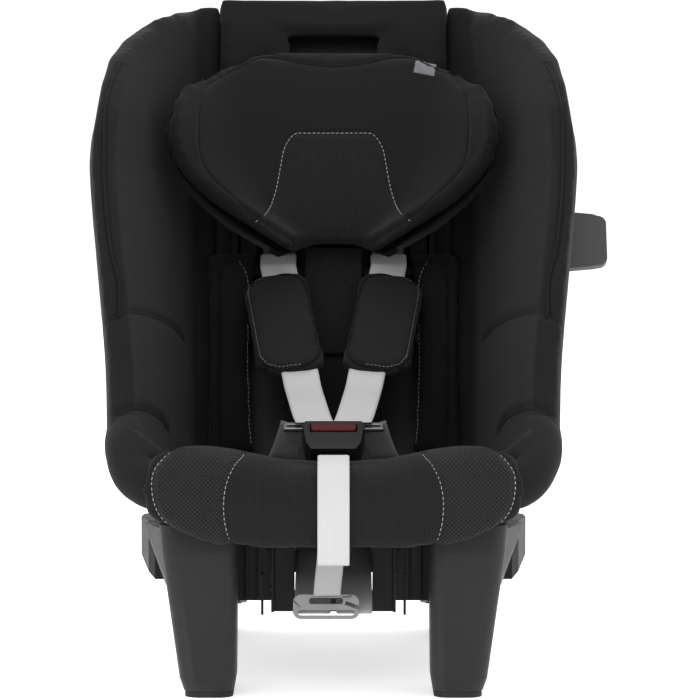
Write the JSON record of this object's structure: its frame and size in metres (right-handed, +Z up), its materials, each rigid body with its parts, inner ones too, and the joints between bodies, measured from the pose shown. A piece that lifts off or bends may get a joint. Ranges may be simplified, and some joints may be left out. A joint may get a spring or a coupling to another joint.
{
  "type": "convertible car seat",
  "caption": "Child car seat with winged padded bucket, sliding head support, five-point harness, tilting shell, two-legged base and fold-down support leg.",
  "frame": {"origin": "on the floor in the middle of the four soles, in the plane of symmetry", "axes": "+X is the occupant's left, -Y the front of the seat where the legs of the child go, +Z up"},
  "size_m": [0.5282, 0.6315, 0.6841],
  "materials": {
    "base_black_plastic": "fine spark grain, matt",
    "leg_grey_plastic": "fine spark grain, satin",
    "sole_rubber": "matt ribbed rubber",
    "steel_plate": "zinc plated, brushed",
    "steel_pin": "turned steel",
    "alloy_tube": "satin anodised",
    "shell_plastic": "moulded, matt",
    "guard_plastic": "moulded, satin",
    "cover_fabric": "fine woven polyester, dark charcoal",
    "rib_fabric": "fine ribbed knit, dark charcoal",
    "mesh_fabric": "three-layer spacer mesh, dark charcoal",
    "inlay_fabric": "short brushed knit, near black",
    "pad_fabric": "melange knit, dark charcoal",
    "webbing_grey": "woven polyester webbing, light grey",
    "buckle_plastic": "moulded, satin",
    "button_red": "moulded, glossy",
    "carriage_plastic": "moulded, matt"
  },
  "bodies": {
    "base": {"base_side_left": "base_black_plastic", "base_side_right": "base_black_plastic", "base_front_web": "base_black_plastic", "base_rear_bars": "base_black_plastic", "front_leg_left": "leg_grey_plastic", "front_leg_right": "leg_grey_plastic", "belt_guides": "leg_grey_plastic", "foot_soles": "sole_rubber", "leg_bracket": "steel_plate", "leg_pivot_pin": "steel_pin", "base_screws": "steel_pin"},
    "support_leg": {"leg_hinge_block": "carriage_plastic", "leg_outer_tube": "alloy_tube", "leg_collar": "carriage_plastic"},
    "leg_extension": {"leg_inner_tube": "alloy_tube", "leg_foot": "carriage_plastic", "leg_foot_sole": "sole_rubber"},
    "lock_button": {"leg_lock_button": "button_red"},
    "shell": {"seat_shell": "shell_plastic", "runners": "shell_plastic", "back_cover": "shell_plastic", "guide_rods": "steel_pin", "shell_screws": "steel_pin", "side_bolster_left": "cover_fabric", "side_bolster_right": "cover_fabric", "upper_back_pad": "cover_fabric", "back_pad": "mesh_fabric", "inlay_pad_left": "inlay_fabric", "inlay_pad_right": "inlay_fabric", "seat_cushion": "cover_fabric", "apron_pad": "cover_fabric", "crotch_strap": "webbing_grey", "crotch_pad": "buckle_plastic", "buckle_body": "buckle_plastic", "tongue_left": "steel_plate", "tongue_right": "steel_plate", "chest_straps": "webbing_grey", "hip_straps": "webbing_grey", "adjuster_body": "steel_plate", "pull_strap": "webbing_grey", "adjuster_strap": "webbing_grey", "yoke_plate": "steel_plate", "under_straps": "webbing_grey", "guard_pins": "steel_pin", "guard_brackets": "shell_plastic"},
    "buckle_push": {"buckle_button": "button_red"},
    "adjuster": {"adjuster_lever": "steel_plate"},
    "headrest": {"headrest_shell": "carriage_plastic", "headrest_pad": "cover_fabric", "headrest_carriage": "carriage_plastic", "neck_flap": "mesh_fabric", "shoulder_strap_left": "webbing_grey", "shoulder_strap_right": "webbing_grey"},
    "headrest_pull": {"headrest_handle": "carriage_plastic"},
    "pad_left": {"shoulder_pad_left": "pad_fabric"},
    "pad_right": {"shoulder_pad_right": "pad_fabric"},
    "tilt_pull": {"tilt_handle": "base_black_plastic"},
    "guard_flap_left": {"guard_left": "guard_plastic"},
    "guard_flap_right": {"guard_right": "guard_plastic"}
  },
  "joints": [
    {"name": "recline", "type": "hinge", "parent": "base", "child": "shell", "pos_m": [0, 0.06, 0.48], "axis": [-1, 0, 0], "range_deg": [0, 12]},
    {"name": "headrest_height", "type": "slide", "parent": "shell", "child": "headrest", "axis": [0, 0.3746, 0.9272], "range_m": [0, 0.165]},
    {"name": "headrest_release", "type": "slide", "parent": "headrest", "child": "headrest_pull", "axis": [0, 0.3746, 0.9272], "range_m": [0, 0.01], "stiffness_N_per_m": 600},
    {"name": "recline_release", "type": "slide", "parent": "base", "child": "tilt_pull", "axis": [0, -1, 0], "range_m": [0, 0.012], "stiffness_N_per_m": 700},
    {"name": "buckle_release", "type": "slide", "parent": "shell", "child": "buckle_push", "axis": [0, 0.342, -0.9397], "range_m": [0, 0.004], "stiffness_N_per_m": 1500},
    {"name": "adjuster_release", "type": "hinge", "parent": "shell", "child": "adjuster", "pos_m": [0, -0.184, 0.179], "axis": [-1, 0, 0], "range_deg": [0, 15], "stiffness_Nm_per_rad": 0.8},
    {"name": "guard_right_fold", "type": "hinge", "parent": "shell", "child": "guard_flap_right", "pos_m": [0.212, 0.103, 0.424], "axis": [0, 0.4384, 0.8988], "range_deg": [0, 84]},
    {"name": "guard_left_unfold", "type": "hinge", "parent": "shell", "child": "guard_flap_left", "pos_m": [-0.212, 0.103, 0.424], "axis": [0, 0.4384, 0.8988], "range_deg": [0, 78]},
    {"name": "support_leg_fold", "type": "hinge", "parent": "base", "child": "support_leg", "pos_m": [0, 0.232, 0.084], "axis": [-1, 0, 0], "range_deg": [0, 158]},
    {"name": "support_leg_extend", "type": "slide", "parent": "support_leg", "child": "leg_extension", "axis": [0, 0.3746, 0.9272], "range_m": [0, 0.15]},
    {"name": "support_leg_release", "type": "slide", "parent": "support_leg", "child": "lock_button", "axis": [0, -0.9272, 0.3746], "range_m": [0, 0.003], "stiffness_N_per_m": 1200},
    {"name": "shoulder_pad_left_slide", "type": "slide", "parent": "headrest", "child": "pad_left", "axis": [-0.1503, 0.7455, 0.6493], "range_m": [0, 0.012]},
    {"name": "shoulder_pad_right_slide", "type": "slide", "parent": "headrest", "child": "pad_right", "axis": [0.1503, 0.7455, 0.6493], "range_m": [0, 0.012]}
  ]
}
